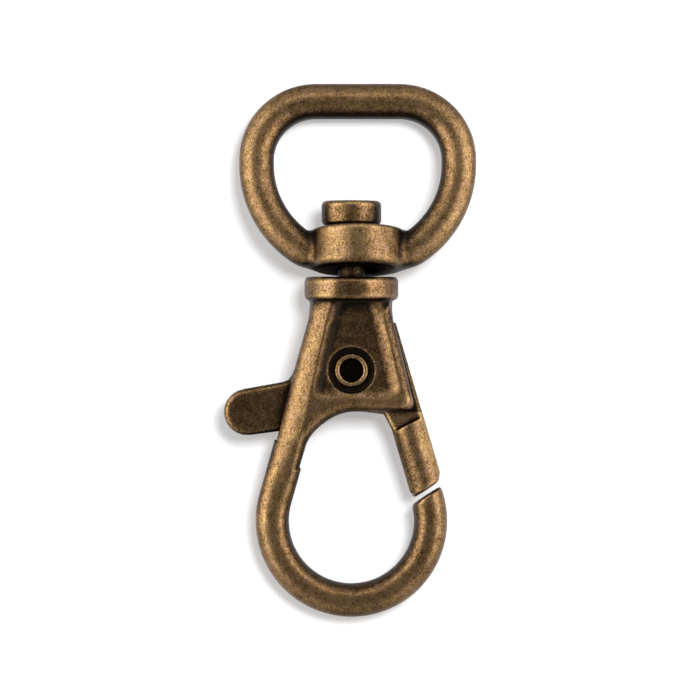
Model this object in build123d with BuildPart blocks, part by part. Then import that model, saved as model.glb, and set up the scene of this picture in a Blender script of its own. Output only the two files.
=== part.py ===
from build123d import *
from math import cos, radians, sin, tan
import os

# Swivel lobster clasp (trigger snap hook), 38 mm long, for a 12 mm strap.
# Frame, in mm: +Z runs up the swivel axis, the front faces -Y, and the origin is the centre of
# the hook's round bowl. The eye is loose on its rivet: it hangs off centre and leans back, with
# its boss resting against the collar behind and the rivet's head in front.

# ---- swivel eye, its heights counted up the leaning eye from the middle of its boss ----
eye_lean = 8.5
eye_shift = 0.45
boss_mid_z = 19.31
boss_height = 2.89
boss_r = 3.4
boss_edge_r = 0.3
bore_r = 1.5
strap_width = 12.0
eye_wire_width = 2.48
eye_wire_depth = 2.6
eye_side_flat = 0.8
bar_height = 10.835
bar_flat_length = 5.96
eye_bowl_height = 6.23

# ---- swivel rivet ----
head_r = 2.13
head_top_z = 22.85
head_seat_z = 21.09
head_edge_r = 0.3
shank_r = 0.95
shank_clearance = 0.05
tail_r = 1.25
tail_height = 0.3

# ---- collar and neck of the hook ----
collar_r = 3.35
collar_top_z = 17.35
collar_bottom_z = 15.78
collar_edge_r = 0.3
neck_r = 2.83
neck_foot_r = 2.5
neck_foot_z = 14.51

# ---- loop of the hook ----
loop_outer_r = 6.84
loop_inner_r = 4.46
loop_wire_depth = 3.0
loop_side_flat = 1.0
leg_lean = 15.7
loop_sweep = 230
nose_gap = 0.36
nose_edge_r = 0.2

# ---- slotted housing ----
housing_top_z = 15.41
housing_top_half_depth = 2.6
housing_mid_z = 8.71
housing_mid_half_depth = 2.2
leg_half_depth = 1.5
leg_foot_z = 1.11
cheek_bottom_z = 7.81
cheek_right_top_x = 2.7
cheek_right_bottom_x = 4.6
cheek_corner_r = 0.85
leg_inner_r = 2.5
casting_edge_r = 0.8
recess_depth = 0.42
recess_top_left_x = -1.3
recess_top_right_x = 1.25
recess_bottom_left_x = -2.65
recess_bottom_right_x = 3.0
recess_bottom_z = 9.21
recess_corner_r = 0.5
slot_half = 1.0
slot_ceiling_z = 14.35
slot_floor_outer = (-5.61, 5.28)
slot_floor_inner = (-3.54, 3.71)
slot_inner_x = -2.0
slot_step_z = 6.31

# ---- pivot of the lever ----
pivot_z = 10.76
pivot_r = 1.0
pivot_clearance = 0.05
counterbore_r = 1.6
counterbore_floor_y = 1.45
clinch_r = 1.23
clinch_height = 0.3
cavity_r = 0.8
cavity_depth = 2.2
clinch_edge_r = 0.1
back_head_r = 1.45
back_head_height = 0.4
back_head_edge_r = 0.3

# ---- gate lever ----
web_half = 0.92
web_edge_r = 0.25
spine_top = (3.107, 14.35)
spine_top_width = 0.35
spine_top_drop = 0.25
stop_gap = 0.03
gate_lean = 16.4
gate_width = 2.42
gate_half_depth = 1.45
gate_side_flat = 0.9
gate_step_along = 7.13
gate_step_bevel = 11.0
gate_end_along = 11.86
gate_end_bevel = 16.8
gate_end_edge_r = 0.15
gate_corner_r = 0.3
web_bottom_z = 8.16
web_heel = (2.3, 7.61)
web_heel_foot_z = 6.45
web_left_x = -2.3
tab_tip_x = -9.1
tab_end_r = 1.66
tab_end_z = 7.78
tab_top_angle = 99.9
tab_bottom_angle = -83.2
tab_root_top = (-4.89, 9.92)
tab_root_bottom = (-5.57, 6.35)
tab_inner_bottom = (-3.5, 6.66)
tab_fillet_r = 0.9
stop_r = 3.8
stop_angle = -58.6
hub_top_r = 3.5
hub_start_angle = -48.6

# ---- closing spring and its pocket in the back of the lever ----
spring_wire_r = 0.1
spring_coil_r = 1.4
spring_pitch = 0.205
spring_turns = 2.25
spring_start_angle = 45
spring_start_y = 0.33
spring_fixed_leg = 3.55
spring_moving_leg = 1.7
pocket_r = 1.8
pocket_floor_y = 0.12
groove_width = 0.28
relief_near_leg = (1.56, 37.5)
relief_outer_start = (4.0, -22)
relief_outer_end = (4.1, -67.4)
relief_inner = (1.15, 5)

# ---- places worked out from the sizes above ----
eye_mid_r = (strap_width + eye_wire_width) / 2
half_flat = bar_flat_length / 2
corner_mid_r = eye_mid_r - half_flat
corner_height = bar_height - corner_mid_r
eye_up = (0, sin(radians(eye_lean)), cos(radians(eye_lean)))
eye_front = (0, -cos(radians(eye_lean)), sin(radians(eye_lean)))
eye_origin = (eye_shift, 0, boss_mid_z)
eye_face = Plane(origin=eye_origin, x_dir=(1, 0, 0), z_dir=eye_front)
boss_foot = Plane(origin=eye_origin, x_dir=(1, 0, 0), z_dir=eye_up).offset(-boss_height / 2)
loop_mid_r = (loop_outer_r + loop_inner_r) / 2
loop_wire_width = loop_outer_r - loop_inner_r
leg_out = (-cos(radians(leg_lean)), sin(radians(leg_lean)))
leg_up = (sin(radians(leg_lean)), cos(radians(leg_lean)))
gate_along = (sin(radians(gate_lean)), -cos(radians(gate_lean)))
gate_inward = (-cos(radians(gate_lean)), -sin(radians(gate_lean)))
gate_end_angle = gate_lean + gate_end_bevel
nose_away = (sin(radians(gate_end_angle)), -cos(radians(gate_end_angle)))
tab_end_x = tab_tip_x + tab_end_r
moving_angle = spring_start_angle + 360 * spring_turns
tail_z = slot_ceiling_z + shank_clearance
pivot_axis = Axis((0, 0, pivot_z), (0, 1, 0))
reach = 12.0
near = 0.1


def on_leg(distance, z):
    """The point at height z on the leg's line that passes this far from the loop's centre."""
    foot_x = distance * leg_out[0]
    foot_z = distance * leg_out[1]
    return (foot_x + (z - foot_z) * leg_up[0] / leg_up[1], z)


def about_pivot(radius, angle):
    """The point at this radius from the pivot, its angle counted from straight up towards +X."""
    return (radius * sin(radians(angle)), pivot_z + radius * cos(radians(angle)))


def on_gate(start, bevel, inset):
    """The point on a line across the gate that starts this far down its outer edge, bevelled."""
    along = start + inset * tan(radians(bevel))
    x = spine_top[0] + along * gate_along[0] + inset * gate_inward[0]
    z = spine_top[1] + along * gate_along[1] + inset * gate_inward[1]
    return (x, z)


def gate_inner_edge(z):
    """The point at this height on the gate's inner edge, which the web carries on."""
    foot = on_gate(0, 0, gate_width)
    return (foot[0] + (z - foot[1]) * gate_along[0] / gate_along[1], z)


def on_tab_end(angle):
    """The point at this angle on the round end of the thumb tab."""
    return (tab_end_x + tab_end_r * cos(radians(angle)), tab_end_z + tab_end_r * sin(radians(angle)))


def on_slot_floor(x):
    """The height of the slot's slanting floor at this x."""
    slope = (slot_floor_inner[1] - slot_floor_outer[1]) / (slot_floor_inner[0] - slot_floor_outer[0])
    return slot_floor_outer[1] + (x - slot_floor_outer[0]) * slope


def above_foot(point):
    """How far a point lies above the foot of the leg, measured along the leg."""
    return point.X * leg_up[0] + point.Z * leg_up[1]


def domed_section(width, depth, side_flat):
    """Wire section with short flat sides and a domed front and back."""
    half = side_flat / 2
    dome = depth / 2 - half
    with BuildSketch() as section:
        with BuildLine():
            Line((width / 2, -half), (width / 2, half))
            EllipticalCenterArc((0, half), width / 2, dome, arc_size=180)
            Line((-width / 2, half), (-width / 2, -half))
            EllipticalCenterArc((0, -half), width / 2, dome, start_angle=180, arc_size=180)
        make_face()
    return section.sketch


def depth_profile(inset):
    """Side view of the housing and leg: thickest under the collar, slimmer towards the loop."""
    top = housing_top_half_depth - inset
    middle = housing_mid_half_depth - inset
    foot = leg_half_depth - inset
    with BuildSketch() as profile:
        with BuildLine():
            front = ThreePointArc((top, housing_top_z), (middle, housing_mid_z), (foot, leg_foot_z))
            back = ThreePointArc((-top, housing_top_z), (-middle, housing_mid_z), (-foot, leg_foot_z))
            Polyline(front @ 1, (foot, 0), (-foot, 0), back @ 1)
            Polyline(front @ 0, (top, collar_bottom_z), (-top, collar_bottom_z), back @ 0)
        make_face()
    return profile.sketch


# ---- eye_ring: a D-shaped ring whose two arms run into the swivel boss ----
with BuildPart() as eye_ring:
    with BuildLine(eye_face) as eye_path:
        Line((-half_flat, bar_height), (half_flat, bar_height))
        CenterArc((half_flat, corner_height), corner_mid_r, 90, -90)
        Line((eye_mid_r, corner_height), (eye_mid_r, eye_bowl_height))
        CenterArc((0, eye_bowl_height), eye_mid_r, 0, -180)
        Line((-eye_mid_r, eye_bowl_height), (-eye_mid_r, corner_height))
        CenterArc((-half_flat, corner_height), corner_mid_r, 180, -90)
    bar_end = eye_face.from_local_coords((-half_flat, bar_height, 0))
    with BuildSketch(Plane(origin=bar_end, x_dir=eye_up, z_dir=(1, 0, 0))):
        add(domed_section(eye_wire_width, eye_wire_depth, eye_side_flat))
    sweep(path=eye_path.wire())
    with BuildSketch(eye_face):
        with Locations((0, -boss_height / 2)):
            Rectangle(2 * reach, boss_r, align=(Align.CENTER, Align.MAX))
    extrude(amount=boss_r, both=True, mode=Mode.SUBTRACT)
    with BuildSketch(boss_foot):
        Circle(boss_r)
    extrude(amount=boss_height)
    boss_rim = eye_ring.edges().filter_by(GeomType.CIRCLE).filter_by(
        lambda edge: abs(edge.radius - boss_r) < near
        and abs(boss_foot.to_local_coords(edge.center()).Z - boss_height) < near
    )
    fillet(boss_rim, boss_edge_r)
    with BuildSketch(boss_foot):
        Circle(bore_r)
    extrude(amount=boss_height, mode=Mode.SUBTRACT)
eye_ring.part.label = "eye_ring"

# ---- swivel_rivet: headed pin, loose in the eye, its tail upset in the slot's roof ----
with BuildPart() as swivel_rivet:
    with BuildSketch(Plane.XZ):
        with BuildLine():
            Polyline(
                (0, head_top_z),
                (head_r, head_top_z),
                (head_r, head_seat_z),
                (shank_r, head_seat_z),
                (shank_r, tail_z + tail_height),
                (tail_r, tail_z),
                (0, tail_z),
                (0, head_top_z),
            )
        make_face()
    revolve(axis=Axis.Z)
    head_rims = swivel_rivet.edges().filter_by(GeomType.CIRCLE).filter_by(
        lambda edge: abs(edge.radius - head_r) < near
    )
    fillet(head_rims, head_edge_r)
swivel_rivet.part.label = "swivel_rivet"

# ---- the shallow recess that is sunk in each cheek of the housing ----
with BuildPart() as recess_tool:
    with BuildSketch(Plane.XZ):
        with BuildLine():
            Polyline(
                (recess_top_left_x, collar_bottom_z),
                (recess_top_right_x, collar_bottom_z),
                (recess_bottom_right_x, recess_bottom_z),
                (recess_bottom_left_x, recess_bottom_z),
                (recess_top_left_x, collar_bottom_z),
            )
        trapezoid = make_face()
        fillet(trapezoid.vertices().group_by(Axis.Y)[0], recess_corner_r)
    extrude(amount=collar_r, both=True)
    with BuildSketch(Plane.YZ):
        add(depth_profile(recess_depth))
    extrude(amount=collar_r, both=True, mode=Mode.SUBTRACT)

# ---- hook_body: collar, neck, slotted housing, leg, loop and nose in one casting ----
with BuildPart() as hook_body:
    with BuildSketch(Plane.XZ):
        with BuildLine():
            Polyline(
                on_leg(loop_outer_r, loop_outer_r * leg_out[1]),
                on_leg(loop_outer_r, housing_top_z),
                (cheek_right_top_x, housing_top_z),
                (cheek_right_bottom_x, cheek_bottom_z),
                on_leg(loop_inner_r, cheek_bottom_z),
                on_leg(loop_inner_r, loop_inner_r * leg_out[1]),
                on_leg(loop_outer_r, loop_outer_r * leg_out[1]),
            )
        make_face()
        right_corner = vertices().sort_by(Axis.X)[-1]
        fillet(right_corner, cheek_corner_r)
        inner_corner = vertices().sort_by_distance((*on_leg(loop_inner_r, cheek_bottom_z), 0))[0]
        fillet(inner_corner, leg_inner_r)
    extrude(amount=collar_r, both=True)
    with BuildSketch(Plane.YZ):
        add(depth_profile(0))
    extrude(amount=reach, both=True, mode=Mode.INTERSECT)
    face_rims = hook_body.edges().filter_by(lambda edge: abs(edge.center().Y) > slot_half)
    cheek_rims = face_rims.filter_by(
        lambda edge: edge.center().Z < housing_top_z - near and above_foot(edge.center()) > near
    )
    fillet(cheek_rims, casting_edge_r)
    with BuildSketch(Plane.XZ):
        with BuildLine():
            Polyline(
                (0, collar_top_z),
                (collar_r, collar_top_z),
                (collar_r, collar_bottom_z),
                (neck_r, collar_bottom_z),
                (neck_r, housing_top_z),
                (neck_foot_r, neck_foot_z),
                (0, neck_foot_z),
                (0, collar_top_z),
            )
        make_face()
        collar_corners = vertices().filter_by(lambda v: abs(v.X - collar_r) < near)
        fillet(collar_corners, collar_edge_r)
    revolve(axis=Axis.Z)
    loop_start = Plane(
        origin=(loop_mid_r * leg_out[0], 0, loop_mid_r * leg_out[1]),
        x_dir=(leg_out[0], 0, leg_out[1]),
        z_dir=(-leg_up[0], 0, -leg_up[1]),
    )
    with BuildSketch(loop_start):
        add(domed_section(loop_wire_width, loop_wire_depth, loop_side_flat))
    revolve(axis=Axis((0, 0, 0), (0, -1, 0)), revolution_arc=loop_sweep)
    gate_end_middle = on_gate(gate_end_along, gate_end_bevel, gate_width / 2)
    nose_middle = (
        gate_end_middle[0] + nose_gap * nose_away[0],
        gate_end_middle[1] + nose_gap * nose_away[1],
    )
    with BuildSketch(Plane.XZ):
        with Locations(Location((*nose_middle, 0), gate_end_angle)):
            Rectangle(2 * loop_wire_width, 2 * loop_wire_width, align=(Align.CENTER, Align.MIN))
    extrude(amount=reach, both=True, mode=Mode.SUBTRACT)
    nose = hook_body.faces().sort_by_distance((nose_middle[0], 0, nose_middle[1]))[0]
    fillet(nose.edges(), nose_edge_r)
    add(recess_tool.part, mode=Mode.SUBTRACT)
    with BuildSketch(Plane.XZ):
        with BuildLine():
            Polyline(
                (-reach, slot_ceiling_z),
                (reach, slot_ceiling_z),
                (reach, slot_step_z),
                (slot_inner_x, slot_step_z),
                (slot_inner_x, on_slot_floor(slot_inner_x)),
                (-reach, on_slot_floor(-reach)),
                (-reach, slot_ceiling_z),
            )
        make_face()
    extrude(amount=slot_half, both=True, mode=Mode.SUBTRACT)
    with BuildSketch(Plane.XZ):
        with Locations((0, pivot_z)):
            Circle(pivot_r)
    extrude(amount=reach, both=True, mode=Mode.SUBTRACT)
    for side in (1, -1):
        with BuildSketch(Plane.XZ.offset(side * counterbore_floor_y)):
            with Locations((0, pivot_z)):
                Circle(counterbore_r)
        extrude(amount=side * reach, mode=Mode.SUBTRACT)
    with BuildSketch(Plane.XZ):
        with BuildLine():
            Polyline(
                (0, collar_top_z),
                (shank_r + shank_clearance, collar_top_z),
                (shank_r + shank_clearance, tail_z + tail_height + shank_clearance),
                (tail_r + shank_clearance, tail_z + shank_clearance),
                (tail_r + shank_clearance, slot_ceiling_z),
                (0, slot_ceiling_z),
                (0, collar_top_z),
            )
        make_face()
    revolve(axis=Axis.Z, mode=Mode.SUBTRACT)
hook_body.part.label = "hook_body"

# ---- pivot_rivet: solid head in the back counterbore, clinched hollow end in the front one ----
with BuildPart() as pivot_rivet:
    front_y = -counterbore_floor_y - clinch_height
    back_y = counterbore_floor_y + back_head_height
    with BuildSketch(Plane.YZ):
        with BuildLine():
            Polyline(
                (front_y + cavity_depth, pivot_z),
                (front_y + cavity_depth, pivot_z + cavity_r),
                (front_y, pivot_z + cavity_r),
                (front_y, pivot_z + clinch_r),
                (-counterbore_floor_y, pivot_z + clinch_r),
                (-counterbore_floor_y, pivot_z + pivot_r),
                (counterbore_floor_y, pivot_z + pivot_r),
                (counterbore_floor_y, pivot_z + back_head_r),
                (back_y, pivot_z + back_head_r),
                (back_y, pivot_z),
                (front_y + cavity_depth, pivot_z),
            )
        make_face()
        clinch_rims = vertices().filter_by_position(Axis.X, front_y - near, front_y + near)
        fillet(clinch_rims, clinch_edge_r)
        head_rim = vertices().sort_by_distance((back_y, pivot_z + back_head_r, 0))[0]
        fillet(head_rim, back_head_edge_r)
    revolve(axis=pivot_axis)
pivot_rivet.part.label = "pivot_rivet"

# ---- the thick bar of the gate, between its bevelled step and its bevelled end ----
with BuildPart() as gate_bar:
    bar_top = on_gate(0, 0, gate_width / 2)
    bar_plane = Plane(
        origin=(bar_top[0], 0, bar_top[1]),
        x_dir=(gate_inward[0], 0, gate_inward[1]),
        z_dir=(gate_along[0], 0, gate_along[1]),
    )
    with BuildSketch(bar_plane):
        add(domed_section(gate_width, 2 * gate_half_depth, gate_side_flat))
    extrude(amount=2 * reach)
    with BuildSketch(Plane.XZ):
        with BuildLine():
            Polyline(
                on_gate(gate_step_along, gate_step_bevel, -gate_width),
                on_gate(gate_step_along, gate_step_bevel, 2 * gate_width),
                on_gate(gate_end_along, gate_end_bevel, 2 * gate_width),
                on_gate(gate_end_along, gate_end_bevel, -gate_width),
                on_gate(gate_step_along, gate_step_bevel, -gate_width),
            )
        make_face()
    extrude(amount=reach, both=True, mode=Mode.INTERSECT)
    gate_end = gate_bar.faces().filter_by(GeomType.PLANE).sort_by(Axis.Z)[0]
    fillet(gate_end.edges(), gate_end_edge_r)

# ---- gate_lever: thumb tab, hub, web and gate in one casting ----
with BuildPart() as gate_lever:
    with BuildSketch(Plane.XZ):
        with BuildLine():
            Polyline(
                on_tab_end(tab_top_angle),
                tab_root_top,
                about_pivot(stop_r, stop_angle),
                about_pivot(hub_top_r, hub_start_angle),
            )
            ThreePointArc(
                about_pivot(hub_top_r, hub_start_angle),
                about_pivot(hub_top_r, hub_start_angle / 2),
                about_pivot(hub_top_r, 0),
            )
            Polyline(
                about_pivot(hub_top_r, 0),
                (spine_top[0] - spine_top_width, slot_ceiling_z - stop_gap),
                on_gate(spine_top_drop, 0, 0),
                on_gate(gate_end_along - gate_corner_r, gate_end_bevel, 0),
                on_gate(gate_end_along - gate_corner_r, gate_end_bevel, gate_width),
                gate_inner_edge(web_heel_foot_z),
                web_heel,
                (web_left_x, web_bottom_z),
                tab_inner_bottom,
                tab_root_bottom,
                on_tab_end(tab_bottom_angle),
            )
            ThreePointArc(on_tab_end(tab_bottom_angle), on_tab_end(180), on_tab_end(tab_top_angle))
        make_face()
        tab_root = vertices().sort_by_distance((*tab_root_top, 0))[0]
        fillet(tab_root, tab_fillet_r)
    extrude(amount=web_half, both=True)
    rims = gate_lever.edges().filter_by(lambda edge: abs(abs(edge.center().Y) - web_half) < near)
    fillet(rims, web_edge_r)
    add(gate_bar.part)
    with BuildSketch(Plane.XZ):
        with Locations((0, pivot_z)):
            Circle(pivot_r + pivot_clearance)
    extrude(amount=reach, both=True, mode=Mode.SUBTRACT)
    with BuildSketch(Plane.XZ.offset(-pocket_floor_y)):
        with BuildLine():
            Polyline(
                about_pivot(*relief_near_leg),
                about_pivot(*relief_outer_start),
                about_pivot(*relief_outer_end),
                about_pivot(*relief_inner),
                about_pivot(*relief_near_leg),
            )
        make_face()
        with Locations((0, pivot_z)):
            Circle(pocket_r)
        with Locations(Location((*about_pivot(spring_coil_r, moving_angle), 0), -moving_angle)):
            Rectangle(2 * spring_moving_leg + groove_width, groove_width)
    extrude(amount=-web_half, mode=Mode.SUBTRACT)
gate_lever.part.label = "gate_lever"

# ---- gate_spring: torsion coil round the pivot rivet, with a fixed and a moving leg ----
with BuildPart() as gate_spring:
    with BuildLine() as coil_line:
        upright_coil = Helix(
            pitch=spring_pitch,
            height=spring_pitch * spring_turns,
            radius=spring_coil_r,
            center=(0, spring_start_y, pivot_z),
            direction=(0, 1, 0),
            mode=Mode.PRIVATE,
        )
        add(upright_coil.rotate(pivot_axis, spring_start_angle))
    coil = coil_line.edges()[0]
    with BuildSketch(Plane(origin=coil @ 0, z_dir=coil % 0)):
        Circle(spring_wire_r)
    sweep(path=coil, is_frenet=True)
    with BuildSketch(Plane(origin=coil @ 0, z_dir=-(coil % 0))):
        Circle(spring_wire_r)
    extrude(amount=spring_fixed_leg)
    with BuildSketch(Plane(origin=coil @ 1, z_dir=coil % 1)):
        Circle(spring_wire_r)
    extrude(amount=spring_moving_leg)
gate_spring.part.label = "gate_spring"

os.makedirs("parts", exist_ok=True)
for piece in (eye_ring, swivel_rivet, hook_body, pivot_rivet, gate_lever, gate_spring):
    export_step(piece.part, f"parts/{piece.part.label}.step")
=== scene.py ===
from math import cos, radians, sin, tan

import bpy
import numpy as np
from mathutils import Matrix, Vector


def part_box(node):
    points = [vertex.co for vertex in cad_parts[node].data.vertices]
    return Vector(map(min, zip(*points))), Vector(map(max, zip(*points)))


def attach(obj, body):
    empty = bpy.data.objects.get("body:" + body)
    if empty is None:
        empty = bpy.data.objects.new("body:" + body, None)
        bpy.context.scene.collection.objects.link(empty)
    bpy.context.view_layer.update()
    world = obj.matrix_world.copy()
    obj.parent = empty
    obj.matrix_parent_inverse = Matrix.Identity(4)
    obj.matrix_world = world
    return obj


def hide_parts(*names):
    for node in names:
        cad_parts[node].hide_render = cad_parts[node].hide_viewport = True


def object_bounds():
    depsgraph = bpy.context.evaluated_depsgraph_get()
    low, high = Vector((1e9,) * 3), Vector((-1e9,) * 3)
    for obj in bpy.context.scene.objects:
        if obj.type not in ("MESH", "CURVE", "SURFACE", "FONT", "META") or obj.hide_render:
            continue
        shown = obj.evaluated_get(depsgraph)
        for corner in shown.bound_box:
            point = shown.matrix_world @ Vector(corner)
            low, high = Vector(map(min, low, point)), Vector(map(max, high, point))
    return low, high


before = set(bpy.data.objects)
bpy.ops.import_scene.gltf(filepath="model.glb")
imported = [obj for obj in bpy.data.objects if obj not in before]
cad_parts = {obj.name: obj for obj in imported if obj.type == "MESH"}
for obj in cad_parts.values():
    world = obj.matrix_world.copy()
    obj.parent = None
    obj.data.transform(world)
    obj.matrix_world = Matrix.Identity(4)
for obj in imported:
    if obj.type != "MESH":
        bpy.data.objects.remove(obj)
cad_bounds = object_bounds()

# Every shape below is a signed distance in millimetres, negative inside, in the frame of the CAD
# model: +Z up the swivel axis, the front towards -Y, the origin at the centre of the hook's bowl.
MM = 0.001
# Keeps divisors off zero.
TINY = 1e-9


# ---- sizes, in mm and degrees ----
# The eye, in its own frame, which leans back about the swivel's centre.
EYE_LEAN = 8.5
EYE_ORIGIN = (0.45, 0, 19.31)
STRAP_WIDTH = 12.0
EYE_WIRE_WIDTH = 2.48
EYE_WIRE_DEPTH = 2.6
EYE_WIRE_RISE = 1.15
BAR_HEIGHT = 10.835
BAR_FLAT = 5.96
EYE_BOWL_HEIGHT = 6.23
BOSS_R = 3.4
BOSS_HALF_HEIGHT = 1.445
BOSS_ROUND = 0.32
ARM_BLEND = 0.45
BORE_R = 1.5

# The swivel rivet.
HEAD_R = 2.13
HEAD_TOP = 22.85
HEAD_SEAT = 21.09
HEAD_ROUND = 0.36
HEAD_FILLET = 0.12
SHANK_R = 0.95
RUNNING_GAP = 0.05

# The hook's collar and neck.
COLLAR_R = 3.35
COLLAR_TOP = 17.35
COLLAR_BOTTOM = 15.78
COLLAR_ROUND = 0.32
COLLAR_FILLET = 0.25
NECK_R = 2.8
NECK_FOOT_R = 2.5
NECK_FOOT = 14.51
NECK_FILLET = 0.8
NECK_TRIM_ROUND = 0.2

# The hook's loop and leg. A pair holds the value on the loop and the one higher up the leg.
# A change starts FROM one place and takes FULL millimetres. Right of the middle, everything
# below NOSE_REGION belongs to the loop and its nose.
LOOP_OUTER_R = 6.84
LOOP_INNER_R = 4.46
LEG_LEAN = 15.7
WIRE_HALF_DEPTH = 1.5
OUTER_REACH = (1.19, 1.3)
INNER_REACH = (1.19, 1.1)
CHEEK_REACH = 0.68
CHEEK_REACH_FROM = -0.5
CHEEK_REACH_FULL = 4.0
RISE = (1.35, 0.85)
ROUND_CHANGE_FROM = -2.0
ROUND_CHANGE_FULL = 6.0
LEG_SLOPE = 0.3
LEG_SLOPE_FROM = 1.0
LEG_SLOPE_FULL = 6.0
LEG_STEP = 0.12
LEG_STEP_Z = 3.7
LEG_STEP_RISE = 0.1
LEG_STEP_END = 5.5
LEG_STEP_FADE = 2.0
NOSE_GAP = 0.36
NOSE_ROUND = 0.28
NOSE_REGION = 6.9

# The slotted housing and its cheeks.
HOUSING_TOP = 15.5
HOUSING_TOP_HALF_DEPTH = 2.6
HOUSING_TOP_ROUND = 0.5
HOUSING_MID = 8.71
HOUSING_MID_HALF_DEPTH = 2.2
LEG_FOOT = 1.11
CHEEK_BOTTOM = 7.81
CHEEK_RIGHT_TOP = (2.7, 15.41)
CHEEK_RIGHT_BOTTOM = (4.6, 7.81)
CHEEK_CORNER = 0.9
CROTCH_R = 2.6
RECESS_DEPTH = 0.42
RECESS_LEFT = ((-1.5, 15.5), (-2.95, 9.1))
RECESS_LEFT_SLOPE = 0.9
RECESS_RIGHT = ((2.2, 15.5), (3.75, 8.9))
RECESS_RIGHT_SLOPE = 1.1
RECESS_FOOT = 8.5
RECESS_FOOT_SLOPE = 1.35
# A rail corner that is made lighter in colour, and how far that reaches.
LIGHTER_CORNER = (4.0, 8.35)
LIGHTER_CORNER_R = 0.9
SLOT_HALF = 1.0
SLOT_CEILING = 14.35
SLOT_FLOOR = ((-5.6, 6.05), (-3.66, 3.79))
SLOT_INNER = -2.0
SLOT_STEP = 6.31
BORE_OVERRUN = 1.0

# The pivot rivet and the holes that it fills.
PIVOT_Z = 10.76
PIVOT_R = 1.0
PIVOT_BORE_R = 1.05
COUNTERBORE_R = 1.6
COUNTERBORE_FLOOR = 1.45
COUNTERBORE_EDGE = 0.15
CLINCH_R = 1.23
CLINCH_TOP = 1.75
SHANK_BELOW_CLINCH = 0.2
CAVITY_R = 0.8
CAVITY_DEPTH = 2.2
BACK_HEAD_R = 1.45
BACK_HEAD_TOP = 1.85
BACK_HEAD_ROUND = 0.19

# The lever. Its gate bar leans and is measured down its outer edge from GATE_TOP.
WEB_HALF = 0.92
WEB_ROUND = 0.4
GATE_LEAN = 16.4
GATE_TOP = (3.107, 14.35)
GATE_TOP_CHAMFER = 0.25
GATE_TOP_INSET = 0.35
STOP_GAP = 0.03
GATE_WIDTH = 2.42
GATE_HALF_DEPTH = 1.45
GATE_RISE = 1.15
GATE_STEP = 7.13
GATE_STEP_BEVEL = 11.0
GATE_STEP_ROUND = 0.15
GATE_FILLET = 0.2
GATE_END = 11.86
GATE_END_BEVEL = 16.8
GATE_END_ROUND = 0.3
GATE_OUTER_CORNER = 0.5
GATE_INNER_CORNER = 0.3
TAB_END = (-7.44, 7.78)
TAB_R = 1.66
TAB_ARC_START = -83.2
TAB_ARC_STEP = -17.7
TAB_ARC_POINTS = 11
TAB_ROOT_TOP = (-4.89, 9.92)
TAB_ROOT_BOTTOM = (-5.57, 6.35)
TAB_INNER_BOTTOM = (-3.5, 6.66)
TAB_FILLET = ((-4.5, 10.07), (-4.25, 10.4))
STOP_R = 3.8
STOP_ANGLE = -58.6
HUB_TOP_R = 3.5
HUB_START_ANGLE = -48.6
HUB_SPANS = 6
WEB_BOTTOM = 8.16
WEB_LEFT = -2.3
WEB_HEEL = (2.3, 7.61)
WEB_HEEL_FOOT = 6.45

# The lever's spring pocket and its relief, whose corners are radii and angles about the pivot.
POCKET_R = 1.8
POCKET_FLOOR = 0.12
RELIEF = ((1.56, 37.5), (4.0, -22), (4.1, -67.4), (1.15, 5))

# Softened edges of slots and bores, and of the smallest ones.
CUT_EDGE = 0.1
FINE_EDGE = 0.05

# Cell sizes of the meshes: castings and rivets.
CASTING_CELL = 0.094
RIVET_CELL = 0.06

EYE_TILT = (cos(radians(EYE_LEAN)), sin(radians(EYE_LEAN)))
LEG_OUT = (-cos(radians(LEG_LEAN)), sin(radians(LEG_LEAN)))
LEG_UP = (sin(radians(LEG_LEAN)), cos(radians(LEG_LEAN)))
GATE_ALONG = (sin(radians(GATE_LEAN)), -cos(radians(GATE_LEAN)))
GATE_INWARD = (-cos(radians(GATE_LEAN)), -sin(radians(GATE_LEAN)))


# ---- ways to join and cut distances ----
def join(a, b, soft=0.0):
    """Both shapes, with a fillet of about this size where they meet."""
    if soft == 0.0:
        return np.minimum(a, b)
    near = np.maximum(soft - np.abs(a - b), 0) / soft
    return np.minimum(a, b) - near * near * soft / 4


def common(a, b, soft=0.0):
    """What both shapes share, with its edge rounded."""
    return -join(-a, -b, soft)


def cut(a, b, soft=0.0):
    """The first shape without the second, with the edge rounded."""
    return common(a, -b, soft)


def rounded(across, through, radius):
    """A shape bounded by two crossing distances, with this radius along their edge."""
    a, b = across + radius, through + radius
    return np.minimum(np.maximum(a, b), 0) + np.hypot(np.maximum(a, 0), np.maximum(b, 0)) - radius


def domed(across, through, reach, rise):
    """A shape bounded by two crossing distances, with an elliptical edge this wide and this high."""
    a, b = (across + reach) / reach, (through + rise) / rise
    inside = np.minimum(np.maximum(a, b), 0)
    return (inside + np.hypot(np.maximum(a, 0), np.maximum(b, 0)) - 1) * np.minimum(reach, rise)


def filleted(a, b, radius):
    """Both shapes, with a round fillet of this radius in the corner between them."""
    return -rounded(-a, -b, radius)


def beyond(x, z, start, end):
    """Distance to the right of the line from start to end, in the plane of the clasp."""
    dx, dz = end[0] - start[0], end[1] - start[1]
    return ((x - start[0]) * dz - (z - start[1]) * dx) / np.hypot(dx, dz)


def polygon(x, z, points):
    """Distance to a closed outline, in the plane of the clasp."""
    nearest = np.inf
    inside = False
    for (ax, az), (bx, bz) in zip(points, points[1:] + points[:1]):
        ex, ez = bx - ax, bz - az
        along = np.clip(((x - ax) * ex + (z - az) * ez) / (ex * ex + ez * ez), 0, 1)
        nearest = np.minimum(nearest, np.hypot(x - ax - along * ex, z - az - along * ez))
        crosses = (az > z) != (bz > z)
        with np.errstate(divide="ignore", invalid="ignore"):
            left_of = x < ax + (z - az) * ex / np.where(ez == 0, TINY, ez)
        inside = inside ^ (crosses & left_of)
    return np.where(inside, -nearest, nearest)


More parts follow.
